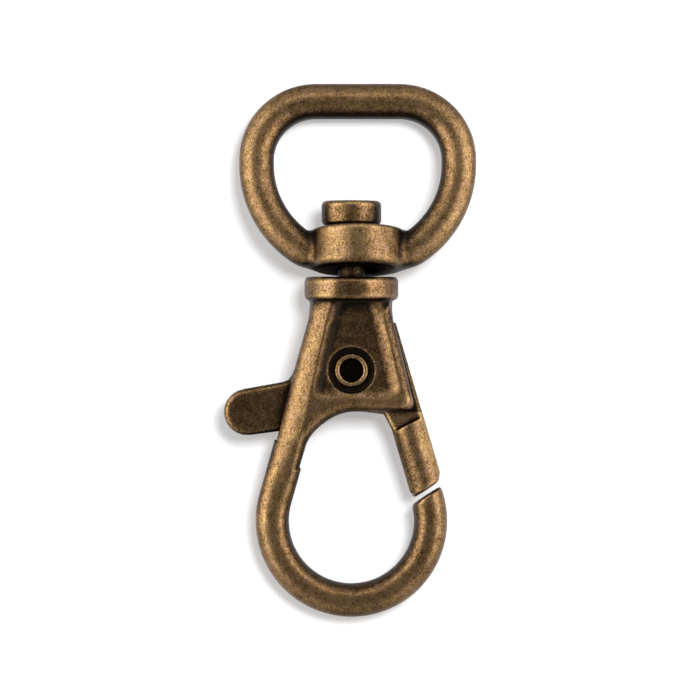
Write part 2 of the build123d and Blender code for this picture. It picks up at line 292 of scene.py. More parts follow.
def smooth(value):
    """0 below 0, 1 above 1, and a soft step between."""
    value = np.clip(value, 0, 1)
    return value * value * (3 - 2 * value)


def fade(distance, start, width):
    """0 up to a start, then a soft rise to 1 over a width."""
    return smooth((distance - start) / width)


def disc(radius_at, height, radius, bottom, top, soft):
    """A round plate or pin with softened rims."""
    middle, half = (bottom + top) / 2, (top - bottom) / 2
    return rounded(radius_at - radius, np.abs(height - middle) - half, soft)


def about_pivot(radius, angle):
    """The point at this radius from the pivot, its angle counted from straight up towards +X."""
    return (radius * sin(radians(angle)), PIVOT_Z + radius * cos(radians(angle)))


def on_gate(start, bevel, inset):
    """The point on a line across the gate that starts this far down its outer edge, bevelled."""
    along = start + inset * tan(radians(bevel))
    return (
        GATE_TOP[0] + along * GATE_ALONG[0] + inset * GATE_INWARD[0],
        GATE_TOP[1] + along * GATE_ALONG[1] + inset * GATE_INWARD[1],
    )


# ---- the pieces ----
def eye_ring(x, y, z):
    """Leaning D-shaped ring of domed wire, its arms blended into the bored boss."""
    x, y, z = x - EYE_ORIGIN[0], y - EYE_ORIGIN[1], z - EYE_ORIGIN[2]
    y, z = y * EYE_TILT[0] - z * EYE_TILT[1], y * EYE_TILT[1] + z * EYE_TILT[0]
    mid_r = (STRAP_WIDTH + EYE_WIRE_WIDTH) / 2
    corner_r = mid_r - BAR_FLAT / 2
    corner_height = BAR_HEIGHT - corner_r
    upper = np.hypot(np.maximum(np.abs(x) - BAR_FLAT / 2, 0), z - corner_height) - corner_r
    lower = np.hypot(x, z - EYE_BOWL_HEIGHT) - mid_r
    path = np.where(z > corner_height, upper, np.where(z > EYE_BOWL_HEIGHT, np.abs(x) - mid_r, lower))
    half_width = EYE_WIRE_WIDTH / 2
    wire = domed(np.abs(path) - half_width, np.abs(y) - EYE_WIRE_DEPTH / 2, half_width, EYE_WIRE_RISE)
    r = np.hypot(x, y)
    boss = disc(r, z, BOSS_R, -2 * BOSS_HALF_HEIGHT, BOSS_HALF_HEIGHT, BOSS_ROUND)
    ring = join(wire, boss, ARM_BLEND)
    ring = common(ring, -BOSS_HALF_HEIGHT - z, 2 * BOSS_ROUND)
    return cut(ring, np.maximum(r - BORE_R, z - 2 * BOSS_HALF_HEIGHT), CUT_EDGE)


def swivel_rivet(x, y, z):
    """Headed pin down through the boss into the collar."""
    r = np.hypot(x, y)
    head = disc(r, z, HEAD_R, HEAD_SEAT, HEAD_TOP, HEAD_ROUND)
    shank = disc(r, z, SHANK_R, SLOT_CEILING + RUNNING_GAP, HEAD_TOP - HEAD_ROUND, CUT_EDGE)
    return join(head, shank, HEAD_FILLET)


def half_depth(z):
    """Half the hook's depth at each height: thickest under the collar, slim at the loop."""
    z = np.clip(z, LEG_FOOT, HOUSING_TOP)
    spans = (
        (HOUSING_TOP, HOUSING_TOP_HALF_DEPTH),
        (HOUSING_MID, HOUSING_MID_HALF_DEPTH),
        (LEG_FOOT, WIRE_HALF_DEPTH),
    )
    total = 0
    for i, (z_here, depth) in enumerate(spans):
        weight = 1
        for other, _ in spans[:i] + spans[i + 1 :]:
            weight = weight * (z - other) / (z_here - other)
        total = total + depth * weight
    return total


def nose_plane(x, z):
    """Distance past the nose's cut face, on the gate's side."""
    angle = radians(GATE_LEAN + GATE_END_BEVEL)
    middle = on_gate(GATE_END, GATE_END_BEVEL, GATE_WIDTH / 2)
    return NOSE_GAP - (x - middle[0]) * sin(angle) + (z - middle[1]) * cos(angle)


def recessed(x, z):
    """1 on the cheeks' recessed floor, falling to 0 at the crests of the rails round it."""
    left = -beyond(x, z, *RECESS_LEFT) / RECESS_LEFT_SLOPE
    right = beyond(x, z, *RECESS_RIGHT) / RECESS_RIGHT_SLOPE
    return smooth(left) * smooth(right) * smooth((z - RECESS_FOOT) / RECESS_FOOT_SLOPE)


def hook_sides(x, z):
    """Distances to the hook's outer and inner edges in front view; the nose isn't cut yet."""
    outward = x * LEG_OUT[0] + z * LEG_OUT[1]
    upward = x * LEG_UP[0] + z * LEG_UP[1]
    right = beyond(x, z, CHEEK_RIGHT_BOTTOM, CHEEK_RIGHT_TOP)
    cheek = common(right, CHEEK_BOTTOM - z, CHEEK_CORNER)
    inner = filleted(cheek, LOOP_INNER_R - outward, CROTCH_R)
    outer = common(outward - LOOP_OUTER_R, z - HOUSING_TOP, HOUSING_TOP_ROUND)
    r = np.hypot(x, z)
    on_loop = (upward < 0) | ((x > 0) & (z < NOSE_REGION))
    return np.where(on_loop, r - LOOP_OUTER_R, outer), np.where(on_loop, LOOP_INNER_R - r, inner)


def leg_step(x, z):
    """How far the slotted leg's inner edge stands back: a small step where the slot ends."""
    step = fade(z, LEG_STEP_Z, LEG_STEP_RISE) * (1 - fade(z, LEG_STEP_END, LEG_STEP_FADE))
    return LEG_STEP * step * (x < SLOT_INNER)


def hook_blank(x, y, z):
    """Housing, leg, loop and nose with their rounded edges, before the collar and the cuts."""
    outside = np.maximum(beyond(x, z, *RECESS_LEFT), 0) * (x < 0)
    slant = LEG_SLOPE * outside * fade(z, LEG_SLOPE_FROM, LEG_SLOPE_FULL)
    face = np.abs(y) - half_depth(z) + slant + RECESS_DEPTH * recessed(x, z)
    outer, inner = hook_sides(x, z)
    inner = inner + leg_step(x, z)
    by_nose = (x > 0) & (z < NOSE_REGION)
    change = np.where(by_nose, 0, fade(z, ROUND_CHANGE_FROM, ROUND_CHANGE_FULL))
    outer_reach, inner_reach, rise = (
        start + (end - start) * change for start, end in (OUTER_REACH, INNER_REACH, RISE)
    )
    rightward = fade(x, CHEEK_REACH_FROM, CHEEK_REACH_FULL) * change
    inner_reach = inner_reach + (CHEEK_REACH - inner_reach) * rightward
    blank = np.maximum(domed(outer, face, outer_reach, rise), domed(inner, face, inner_reach, rise))
    return np.where(by_nose, common(blank, nose_plane(x, z), NOSE_ROUND), blank), face


def hook_body(x, y, z):
    """Collar, neck, slotted housing with its recessed cheeks, leg, loop and nose."""
    body, face = hook_blank(x, y, z)
    r = np.hypot(x, y)
    spread = (NECK_R - NECK_FOOT_R) / (COLLAR_BOTTOM - NECK_FOOT)
    neck = np.maximum(r - NECK_FOOT_R - spread * (z - NECK_FOOT), np.maximum(z - COLLAR_TOP, NECK_FOOT - z))
    body = common(join(body, neck, NECK_FILLET), face, NECK_TRIM_ROUND)
    collar = disc(r, z, COLLAR_R, COLLAR_BOTTOM, COLLAR_TOP, COLLAR_ROUND)
    body = join(body, collar, COLLAR_FILLET)
    floor = np.where(x < SLOT_INNER, beyond(x, z, *SLOT_FLOOR), SLOT_STEP - z)
    slot = np.maximum(z - SLOT_CEILING, floor)
    body = cut(body, np.maximum(slot, np.abs(y) - SLOT_HALF), CUT_EDGE)
    from_pivot = np.hypot(x, z - PIVOT_Z)
    body = cut(body, from_pivot - PIVOT_R)
    counterbore = np.maximum(from_pivot - COUNTERBORE_R, COUNTERBORE_FLOOR - np.abs(y))
    body = cut(body, counterbore, COUNTERBORE_EDGE)
    return cut(body, np.maximum(r - SHANK_R - RUNNING_GAP, SLOT_CEILING - BORE_OVERRUN - z))


def pivot_rivet(x, y, z):
    """Semi-tubular rivet: hollow clinched end in front, solid head at the back."""
    r = np.hypot(x, z - PIVOT_Z)
    shank = disc(r, y, PIVOT_R, SHANK_BELOW_CLINCH - CLINCH_TOP, BACK_HEAD_TOP, CUT_EDGE)
    roll = (CLINCH_R - CAVITY_R) / 2
    clinch = np.hypot(r - CAVITY_R - roll, y + CLINCH_TOP - roll) - roll
    head = disc(r, y, BACK_HEAD_R, COUNTERBORE_FLOOR, BACK_HEAD_TOP, BACK_HEAD_ROUND)
    body = join(join(shank, clinch, FINE_EDGE), head, FINE_EDGE)
    return cut(body, np.maximum(r - CAVITY_R, y + CLINCH_TOP - CAVITY_DEPTH), FINE_EDGE)


def web_outline():
    """Corner points of the lever's thin web, its hub arc and its thumb tab."""
    tab_angles = [radians(TAB_ARC_START + TAB_ARC_STEP * i) for i in range(TAB_ARC_POINTS)]
    tab_end = [(TAB_END[0] + TAB_R * cos(a), TAB_END[1] + TAB_R * sin(a)) for a in tab_angles]
    hub = [about_pivot(HUB_TOP_R, HUB_START_ANGLE * (1 - i / HUB_SPANS)) for i in range(HUB_SPANS + 1)]
    foot = on_gate(0, 0, GATE_WIDTH)
    heel_foot_x = foot[0] + (WEB_HEEL_FOOT - foot[1]) * GATE_ALONG[0] / GATE_ALONG[1]
    short_end = GATE_END - GATE_OUTER_CORNER
    return [
        *tab_end,
        TAB_ROOT_TOP,
        *TAB_FILLET,
        about_pivot(STOP_R, STOP_ANGLE),
        *hub,
        (GATE_TOP[0] - GATE_TOP_INSET, SLOT_CEILING - STOP_GAP),
        on_gate(GATE_TOP_CHAMFER, 0, 0),
        on_gate(short_end, GATE_END_BEVEL, 0),
        on_gate(short_end, GATE_END_BEVEL, GATE_WIDTH),
        (heel_foot_x, WEB_HEEL_FOOT),
        WEB_HEEL,
        (WEB_LEFT, WEB_BOTTOM),
        TAB_INNER_BOTTOM,
        TAB_ROOT_BOTTOM,
    ]


def across_gate(start, bevel):
    """The two ends of a line across the gate bar, from its outer edge to its inner edge."""
    return on_gate(start, bevel, 0), on_gate(start, bevel, GATE_WIDTH)


def gate_bar(x, y, z):
    """The thick domed bar that closes the hook, from its step down to its bevelled end."""
    middle = on_gate(0, 0, GATE_WIDTH / 2)
    across = (x - middle[0]) * GATE_INWARD[0] + (z - middle[1]) * GATE_INWARD[1]
    end = beyond(x, z, *reversed(across_gate(GATE_END, GATE_END_BEVEL)))
    outer = rounded(-across - GATE_WIDTH / 2, end, GATE_OUTER_CORNER)
    inner = rounded(across - GATE_WIDTH / 2, end, GATE_INNER_CORNER)
    sides = domed(np.abs(across) - GATE_WIDTH / 2, np.abs(y) - GATE_HALF_DEPTH, GATE_WIDTH / 2, GATE_RISE)
    bar = common(sides, np.maximum(outer, inner), GATE_END_ROUND)
    return common(bar, beyond(x, z, *across_gate(GATE_STEP, GATE_STEP_BEVEL)), GATE_STEP_ROUND)


def gate_lever(x, y, z):
    """Thumb tab, hub and web in the slot, and the thick gate bar."""
    web = rounded(polygon(x, z, WEB_OUTLINE), np.abs(y) - WEB_HALF, WEB_ROUND)
    lever = join(web, gate_bar(x, y, z), GATE_FILLET)
    from_pivot = np.hypot(x, z - PIVOT_Z)
    lever = cut(lever, from_pivot - PIVOT_BORE_R, FINE_EDGE)
    pocket = np.minimum(from_pivot - POCKET_R, polygon(x, z, [about_pivot(*p) for p in RELIEF]))
    return cut(lever, np.maximum(pocket, POCKET_FLOOR - y), FINE_EDGE)


WEB_OUTLINE = web_outline()


# ---- from distances to meshes ----
SETTLE_ROUNDS = 4
RELAX_ROUNDS = 3
LEAST_SLOPE = 0.05


def slope(shape, points, step=0.02):
    """The gradient of a shape's distance at some points."""
    parts = []
    for axis in range(3):
        shift = np.zeros(3)
        shift[axis] = step
        parts.append((shape(*(points + shift).T) - shape(*(points - shift).T)) / (2 * step))
    return np.stack(parts, 1)


def settle(shape, points, reach):
    """Moves points onto the shape's surface, each by no more than reach a time."""
    for _ in range(SETTLE_ROUNDS):
        gradient = slope(shape, points)
        size = np.maximum((gradient**2).sum(1), LEAST_SLOPE)
        move = gradient * (shape(*points.T) / size)[:, None]
        length = np.maximum(np.linalg.norm(move, axis=1), TINY)
        points = points - move * np.minimum(1, reach / length)[:, None]
    return points


def surface(shape, low, high, step):
    """Points and quads on the shape's zero surface: one point in each grid cell that it crosses."""
    axes = [np.arange(a - 2 * step, b + 3 * step, step) for a, b in zip(low, high)]
    x, y, z = np.meshgrid(*axes, indexing="ij", sparse=True)
    values = np.broadcast_to(shape(x, y, z), [len(a) for a in axes])
    inside = values < 0
    strides = np.array([len(axes[1]) * len(axes[2]), len(axes[2]), 1])
    cells, hits, quads = [], [], []
    for axis in range(3):
        first = tuple(slice(0, -1) if k == axis else slice(1, -1) for k in range(3))
        second = tuple(slice(1, None) if k == axis else slice(1, -1) for k in range(3))
        at = np.argwhere(inside[first] != inside[second]) + [0 if k == axis else 1 for k in range(3)]
        a, b = values[tuple(at.T)], values[tuple((at + np.eye(3, dtype=int)[axis]).T)]
        hit = at.astype(float)
        hit[:, axis] += a / (a - b)
        u, v = strides[(axis + 1) % 3], strides[(axis + 2) % 3]
        base = at @ strides
        around = np.stack([base - u - v, base - v, base, base - u], 1)
        quads.append(np.where((a < 0)[:, None], around, around[:, ::-1]))
        cells.append(around.ravel())
        hits.append(np.repeat(hit, 4, axis=0))
    cells, hits, quads = np.concatenate(cells), np.concatenate(hits), np.concatenate(quads)
    used, index = np.unique(cells, return_inverse=True)
    count = np.bincount(index)
    points = np.stack([np.bincount(index, hits[:, k]) / count for k in range(3)], 1)
    points = points * step + [a[0] for a in axes]
    return points, np.searchsorted(used, quads)


def relax(points, quads):
    """Each point moved to the middle of its neighbours along the quads' edges."""
    ends = np.concatenate([quads[:, [0, 1]], quads[:, [1, 2]], quads[:, [2, 3]], quads[:, [3, 0]]])
    count = np.bincount(ends[:, 0], minlength=len(points))
    total = [np.bincount(ends[:, 0], points[ends[:, 1], k], len(points)) for k in range(3)]
    return np.stack(total, 1) / np.maximum(count, 1)[:, None]


# ---- rubbed patina and painted shade ----
PROUD_SPREAD = 0.22
PROUD_LIMIT = 4
CREVICE_REACHES = (0.35, 0.8, 1.6, 2.8, 7.0, 7.0)
INWARD_REACH = 8
BASE_WEAR = 0.54
PROUD_WEAR = 0.08
# Painted shade: how much darker crevices, faces looking across at a nearby wire, and steep sides are made.
CREVICE_SHADE = 1.0
INWARD_SHADE = 0.4
SIDE_SHADE = 0.1
STEEP_FROM = 0.55
SHADE_DEPTH = 0.3
# Darkening at single places, as shares of that depth, mostly painted shade; a negative one makes the place
# lighter.
RECESS_SHADE = 0.88
LEFT_SLOPE_SHADE = 0.22
RAIL_EDGE_SHADE = 0.75
COUNTERBORE_SHADE = 2
LIGHTER_CORNER_SHADE = -0.8
HOLLOW_SHADE = 3.0
CLINCH_SHADE = 0.15
PIN_SHADE = -0.6
EYE_SHADE = 0.12
BOSS_SHADE = -0.08
TAB_SHADE = 0.93
SPINE_SHADE = 1.2
HEEL_SHADE = -0.8
HOLLOW_MARGIN = 0.04
WEB_MARGIN = 0.08


def whole_clasp(x, y, z):
    """The nearest of all the pieces, for finding crevices."""
    nearest = np.inf
    for shape in (eye_ring, swivel_rivet, hook_body, pivot_rivet, gate_lever):
        nearest = np.minimum(nearest, shape(x, y, z))
    return nearest


def closed_in(points, direction, reach):
    """0 where there is room for this far in a direction, up to 1 where a piece is close."""
    room = whole_clasp(*(points + reach * direction).T)
    return np.clip(1 - room / reach, 0, 1)


def proudness(shape, points):
    """How sharply the surface bulges out at each point; hollows are negative."""
    around = 0
    for axis in range(3):
        shift = np.zeros(3)
        shift[axis] = PROUD_SPREAD
        around = around + shape(*(points + shift).T) + shape(*(points - shift).T)
    return np.clip((around - 6 * shape(*points.T)) / PROUD_SPREAD**2, -PROUD_LIMIT, PROUD_LIMIT)


def wear_and_painted_shade(shape, points, normals, shade):
    """How far each point's patina is rubbed away, most on ridges, lowered by painted shade in crevices,
    beside nearby wires, on steep sides and at places that shade marks.
    """
    # Crevices, found from all the pieces: partly the patina kept in hollows, partly painted shade where
    # pieces crowd each other.
    crevice = 0
    for reach in CREVICE_REACHES:
        crevice = crevice + closed_in(points, normals, reach) / len(CREVICE_REACHES)
    # Painted shade on faces that look sideways at a nearby wire; steep sides a little darker, partly patina,
    # partly painted shade.
    sideways = normals * (1, 0, 1)
    facing = np.linalg.norm(sideways, axis=1)
    direction = sideways / np.maximum(facing, TINY)[:, None]
    inward = facing * closed_in(points, direction, INWARD_REACH)
    level = BASE_WEAR + PROUD_WEAR * proudness(shape, points) - CREVICE_SHADE * crevice
    level = level - INWARD_SHADE * inward * facing - SIDE_SHADE * facing**3
    # Painted shade, and painted light where negative, at single places from the piece's own shade function.
    return level - SHADE_DEPTH * shade(*points.T)


def in_recess(x, y, z):
    """Painted shade on the cheeks: recess floor and its left slope, edge past the right rail, counterbores;
    lighter at the rail's bottom corner.
    """
    inside_left, inside_right = -beyond(x, z, *RECESS_LEFT), beyond(x, z, *RECESS_RIGHT)
    above_foot = z - RECESS_FOOT
    foot = fade(above_foot, start=0.2, width=0.7)
    # Recess floor: its patina plus a painted dark reflection. Left slope: patina plus painted shade over its
    # bright reflection.
    floor = fade(inside_left, start=-0.25, width=0.5) * fade(inside_right, start=0.4, width=0.7) * foot
    left_slope = fade(inside_left, start=-0.2, width=0.5) * fade(-inside_left, start=-1.4, width=0.8) * foot
    below_collar = fade(COLLAR_BOTTOM - z, start=0, width=0.5)
    # Painted shade on the strip past the right rail's crest.
    past_rail = fade(-inside_right, start=-0.12, width=0.3) * smooth(above_foot) * (x > 0) * below_collar
    # Painted shadow down in the counterbores.
    counterbore = np.hypot(x, z - PIVOT_Z) < COUNTERBORE_R + FINE_EDGE
    # The rail's bottom corner is made lighter.
    corner = smooth(1 - np.hypot(x - LIGHTER_CORNER[0], z - LIGHTER_CORNER[1]) / LIGHTER_CORNER_R)
    shade = RECESS_SHADE * floor + LEFT_SLOPE_SHADE * left_slope + RAIL_EDGE_SHADE * past_rail
    return shade + COUNTERBORE_SHADE * counterbore + LIGHTER_CORNER_SHADE * corner


def in_cavity(x, y, z):
    """Painted shadow, full in the pivot rivet's hollow and down its sides, and little on its clinched rim."""
    r = np.hypot(x, z - PIVOT_Z)
    hollow = (r < CAVITY_R + HOLLOW_MARGIN) & (y < 0)
    return np.where(hollow | (np.abs(y) < COUNTERBORE_FLOOR + CUT_EDGE), HOLLOW_SHADE, CLINCH_SHADE)


def on_pin(x, y, z):
    """Lighter on the swivel rivet's head, and painted light on its bare shank below the boss."""
    return PIN_SHADE * ((z > HEAD_SEAT) | (z < HEAD_SEAT - 2 * BOSS_HALF_HEIGHT))


def on_boss(x, y, z):
    """A little darker on the eye, and lighter on the front and back of its boss."""
    proud = fade(np.abs(y) - EYE_WIRE_DEPTH / 2, start=0, width=0.8) * (z < HEAD_SEAT)
    return EYE_SHADE + (BOSS_SHADE - EYE_SHADE) * proud


def in_web(x, y, z):
    """Darker flat faces on the lever's tab and its web in the slot, patina with painted shade; lighter below
    the cheeks.
    """
    # Tab face: patina plus a painted dark reflection and shade from the leg; web in the slot: painted shadow;
    # below the cheeks: made lighter.
    amount = np.where(x < 0, TAB_SHADE, np.where(z > CHEEK_BOTTOM, SPINE_SHADE, HEEL_SHADE))
    return np.clip((WEB_HALF + WEB_MARGIN - np.abs(y)) / FINE_EDGE, 0, 1) * amount


# ---- from meshes to pieces ----
def mesh_piece(name, points, faces, **attributes):
    """A smooth mesh object, in metres, from points in millimetres."""
    mesh = bpy.data.meshes.new(name)
    mesh.from_pydata((points * MM).tolist(), [], faces.tolist())
    mesh.polygons.foreach_set("use_smooth", np.ones(len(faces), bool))
    for label, values in attributes.items():
        layer = mesh.attributes.new(label, "FLOAT", "POINT")
        layer.data.foreach_set("value", np.asarray(values, np.float32))
    mesh.update()
    piece = bpy.data.objects.new(name, mesh)
    bpy.context.scene.collection.objects.link(piece)
    return piece


def cast_piece(name, shape, node, body, slot, step, shade):
    """Builds a piece from its distance, within its CAD node's box, and lets it stand for the node."""
    low, high = (np.array(corner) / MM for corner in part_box(node))
    points, quads = surface(shape, low, high, step)
    for _ in range(RELAX_ROUNDS):
        points = settle(shape, relax(points, quads), step)
    gradient = slope(shape, points)
    normals = gradient / np.maximum(np.linalg.norm(gradient, axis=1), TINY)[:, None]
    # Each point stores how far its face turns sideways and its rubbing less painted shade, for the material's
    # colour.
    sideways = np.clip(1 - np.abs(normals[:, 1]) / STEEP_FROM, 0, 1)
    worn = wear_and_painted_shade(shape, points, normals, shade)
    piece = mesh_piece(name, points, quads, worn=worn, sideways=sideways)
    piece.data.materials.append(finishes[slot])
    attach(piece, body)
    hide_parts(node)


# ---- materials ----
STREAK_SLANT = (0.0, 0.35, 0.2)


class Nodes:
    """Adds shader nodes to a material or a world and joins them."""

    def __init__(self, owner):
        owner.use_nodes = True
        self.owner = owner
        self.tree = owner.node_tree

    def add(self, kind, inputs=None, **settings):
        """A new node with these settings, its inputs set or joined."""
        node = self.tree.nodes.new(kind)
        for key, value in settings.items():
            setattr(node, key, value)
        for key, value in (inputs or {}).items():
            self.set(node.inputs[key], value)
        return node

    def set(self, socket, value):
        """Joins a socket to another, or gives it a value."""
        if isinstance(value, bpy.types.NodeSocket):
            self.tree.links.new(value, socket)
        else:
            socket.default_value = value

    def math(self, operation, a, b=0.0, c=0.0, clamp=False):
        """The result of an operation; MULTIPLY_ADD gives a * b + c."""
        node = self.add("ShaderNodeMath", {0: a, 1: b, 2: c}, operation=operation, use_clamp=clamp)
        return node.outputs[0]

    def noise(self, scale, detail=2.0, roughness=0.5, distortion=0.0, stretch=None):
        """Noise about 0.5; a stretch squeezes it along some axes into slanting streaks."""
        where = self.add("ShaderNodeTexCoord").outputs["Object"]
        if stretch:
            turn = {"Vector": where, "Scale": stretch, "Rotation": STREAK_SLANT}
            where = self.add("ShaderNodeMapping", turn).outputs[0]
        inputs = {"Vector": where, "Scale": scale, "Detail": detail, "Roughness": roughness}
        node = self.add("ShaderNodeTexNoise", {**inputs, "Distortion": distortion})
        return node.outputs["Fac"]

    def mix(self, factor, a, colour):
        """A colour socket blended towards a plain colour."""
        node = self.add("ShaderNodeMix", {0: factor}, data_type="RGBA")
        self.set(node.inputs[6], a)
        self.set(node.inputs[7], (*colour, 1))
        return node.outputs[2]

    def attribute(self, name):
        """A value stored at the mesh's points."""
        return self.add("ShaderNodeAttribute", attribute_name=name).outputs["Fac"]

    def ramp(self, factor, stops):
        """A colour read off these stops."""
        node = self.add("ShaderNodeValToRGB", {"Fac": factor})
        ramp = node.color_ramp
        while len(ramp.elements) < len(stops):
            ramp.elements.new(0.5)
        for element, (position, colour) in zip(ramp.elements, stops):
            element.position = position
            element.color = (*colour, 1)
        return node.outputs["Color"]


# Colours along the rubbing and painted shade level: painted shadow and dark patina up to rubbed bronze.
PATINA_AND_SHADE = (
    (0.0, (0.024, 0.017, 0.011)),
    (0.1, (0.048, 0.031, 0.014)),
    (0.32, (0.150, 0.087, 0.036)),
    (0.6, (0.345, 0.210, 0.086)),
    (1.0, (0.66, 0.44, 0.19)),
)
# Colour of steep sides: partly their patina, partly a painted dim reflection of shaded surroundings.
STEEP_PATINA_AND_REFLECTION = (0.165, 0.105, 0.088)
ROSY_BRONZE = (0.43, 0.245, 0.170)
# Scale, detail, roughness and strength of the broad blotches, the mottle, the fine grain and the
# duller spots.
BLOTCHES = (330, 3, 0.55, 0.6)
MOTTLE = (1900, 3, 0.65, 0.65)
GRAIN = (8500, 2, 0.6, 1.5)
DULL_SPOTS = (2400, 3, 0.5, 0.16)
# Scale, stretch along each axis and threshold of the scratches that run either way.
SCRATCHES = (1500, (9.0, 1.0, 1.0), 6.0)
CROSS_SCRATCHES = (1700, (1.0, 1.0, 11.0), 6.2)
SCRATCH_SHARPNESS = 9.0
SCRATCH_WEAR = 0.16
SPECKLE_ON_BLACK = 0.3
SPECKLE_GAIN = 1.3
ROSY_SHARPNESS = 3.8
ROSY_THRESHOLD = 1.7
ROSY_MIX = 1.1
STEEP_MIX = 0.42
PLATING_ROUGHNESS = 0.40
RUBBED_ROUGHNESS = -0.12
BROAD_BUMPS = 1.5
# In metres.
BUMP_HEIGHT = 0.00003
WIRE_BUMP_HEIGHT = 0.00001


def speckle(nodes, scale, detail, roughness, strength):
    """Noise about 0, as strong as given."""
    return nodes.math("MULTIPLY_ADD", nodes.noise(scale, detail, roughness), strength, -strength / 2)


def scratches(nodes, scale, stretch, threshold):
    """Thin streaks of 1 on 0."""
    streaks = nodes.noise(scale, detail=2, roughness=0.6, distortion=0.3, stretch=stretch)
    return nodes.math("MULTIPLY_ADD", streaks, SCRATCH_SHARPNESS, -threshold, clamp=True)


def antique_bronze(name, darker=0.0):
    """Bronze plating, mottled and rubbed bright where it stands proud, darkened by its patina in hollows and
    by painted shade stored at the mesh's points.
    """
    n = Nodes(bpy.data.materials.new(name))
    shader = n.tree.nodes["Principled BSDF"]
    blotches, mottle, grain = (speckle(n, *kind) for kind in (BLOTCHES, MOTTLE, GRAIN))
    spots = n.math("ADD", n.math("ADD", blotches, mottle), grain)
    contrast = n.math("MULTIPLY_ADD", n.attribute("worn"), SPECKLE_GAIN, SPECKLE_ON_BLACK)
    level = n.math("MULTIPLY_ADD", spots, contrast, n.attribute("worn"))
    scratched = n.math("MAXIMUM", scratches(n, *SCRATCHES), scratches(n, *CROSS_SCRATCHES))
    level = n.math("MULTIPLY_ADD", scratched, SCRATCH_WEAR, level)
    level = n.math("ADD", level, -darker, clamp=True)
    colour = n.ramp(level, PATINA_AND_SHADE)
    patches = n.noise(scale=2300, detail=3, roughness=0.6, distortion=0.4)
    rosy = n.math("MULTIPLY_ADD", patches, ROSY_SHARPNESS, -ROSY_THRESHOLD, clamp=True)
    rosy = n.math("MULTIPLY", rosy, n.math("MULTIPLY", level, ROSY_MIX, clamp=True))
    colour = n.mix(rosy, colour, ROSY_BRONZE)
    # Steep sides mixed towards their patina and a painted dim reflection.
    steep = n.math("MULTIPLY", n.attribute("sideways"), STEEP_MIX)
    colour = n.mix(steep, colour, STEEP_PATINA_AND_REFLECTION)
    n.set(shader.inputs["Base Color"], colour)
    shader.inputs["Metallic"].default_value = 1.0
    rough = n.math("MULTIPLY_ADD", level, RUBBED_ROUGHNESS, PLATING_ROUGHNESS)
    rough = n.math("ADD", rough, speckle(n, *DULL_SPOTS))
    n.set(shader.inputs["Roughness"], rough)
    fine, broad = n.noise(scale=5200, detail=3, roughness=0.7), n.noise(scale=1300)
    height = n.math("ADD", fine, n.math("MULTIPLY", broad, BROAD_BUMPS))
    bump = n.add("ShaderNodeBump", {"Strength": 0.5, "Distance": BUMP_HEIGHT, "Height": height})
    n.set(shader.inputs["Normal"], bump.outputs["Normal"])
    return n.owner


WIRE_COLOURS = ((0.3, (0.16, 0.14, 0.12)), (0.7, (0.5, 0.49, 0.47)))
WIRE_ROUGHNESS = 0.45
BARE_WIRE_ROUGHNESS = -0.2


def drawn_steel(name):
    """Drawn spring wire with faint spots of dirt."""
    n = Nodes(bpy.data.materials.new(name))
    shader = n.tree.nodes["Principled BSDF"]
    bare = n.noise(scale=3000, detail=4, roughness=0.6)
    n.set(shader.inputs["Base Color"], n.ramp(bare, WIRE_COLOURS))
    shader.inputs["Metallic"].default_value = 1.0
    rough = n.math("MULTIPLY_ADD", bare, BARE_WIRE_ROUGHNESS, WIRE_ROUGHNESS)
    n.set(shader.inputs["Roughness"], rough)
    height = n.noise(scale=9000)
    bump = n.add("ShaderNodeBump", {"Strength": 0.2, "Distance": WIRE_BUMP_HEIGHT, "Height": height})
    n.set(shader.inputs["Normal"], bump.outputs["Normal"])
    return n.owner


PAPER_COLOUR = (0.6, 0.6, 0.6, 1)


def white_paper(name, glow, one_sided=False):
    """Matt white paper; a one-sided sheet isn't seen from behind."""
    n = Nodes(bpy.data.materials.new(name))
    shader = n.tree.nodes["Principled BSDF"]
    shader.inputs["Base Color"].default_value = PAPER_COLOUR
    shader.inputs["Roughness"].default_value = 0.9
    shader.inputs["Emission Color"].default_value = (1, 1, 1, 1)
    shader.inputs["Emission Strength"].default_value = glow
    if one_sided:
        clear = n.add("ShaderNodeBsdfTransparent")
        back = n.add("ShaderNodeNewGeometry").outputs["Backfacing"]
        mix = n.add("ShaderNodeMixShader", {0: back, 1: shader.outputs[0], 2: clear.outputs[0]})
        n.set(n.tree.nodes["Material Output"].inputs["Surface"], mix.outputs[0])
    return n.owner


# ---- build the pieces ----
finishes = {
    "antique_bronze": antique_bronze("patinated_bronze"),
    "antique_bronze_rivet": antique_bronze("patinated_rivet", darker=0.1),
    "spring_steel": drawn_steel("drawn_steel"),
}
plating, rivet_plating = "antique_bronze", "antique_bronze_rivet"
cast_piece("eye", eye_ring, "eye_ring", "eye", plating, CASTING_CELL, on_boss)
cast_piece("hook", hook_body, "hook_body", "hook", plating, CASTING_CELL, in_recess)
cast_piece("lever", gate_lever, "gate_lever", "gate", plating, CASTING_CELL, in_web)
cast_piece("swivel_pin", swivel_rivet, "swivel_rivet", "swivel_pin", rivet_plating, RIVET_CELL, on_pin)
cast_piece("hollow_rivet", pivot_rivet, "pivot_rivet", "hook", rivet_plating, RIVET_CELL, in_cavity)
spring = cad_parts["gate_spring"]
spring.data.materials.clear()
spring.data.materials.append(finishes["spring_steel"])


# ---- floor, backdrop, light and camera, in metres ----
VIEW_WIDTH = 0.050
LOOK_AT = Vector((-0.0001, 0, 0.0122))
LENS = 250
SENSOR = 36
STAGE_HALF = 0.3
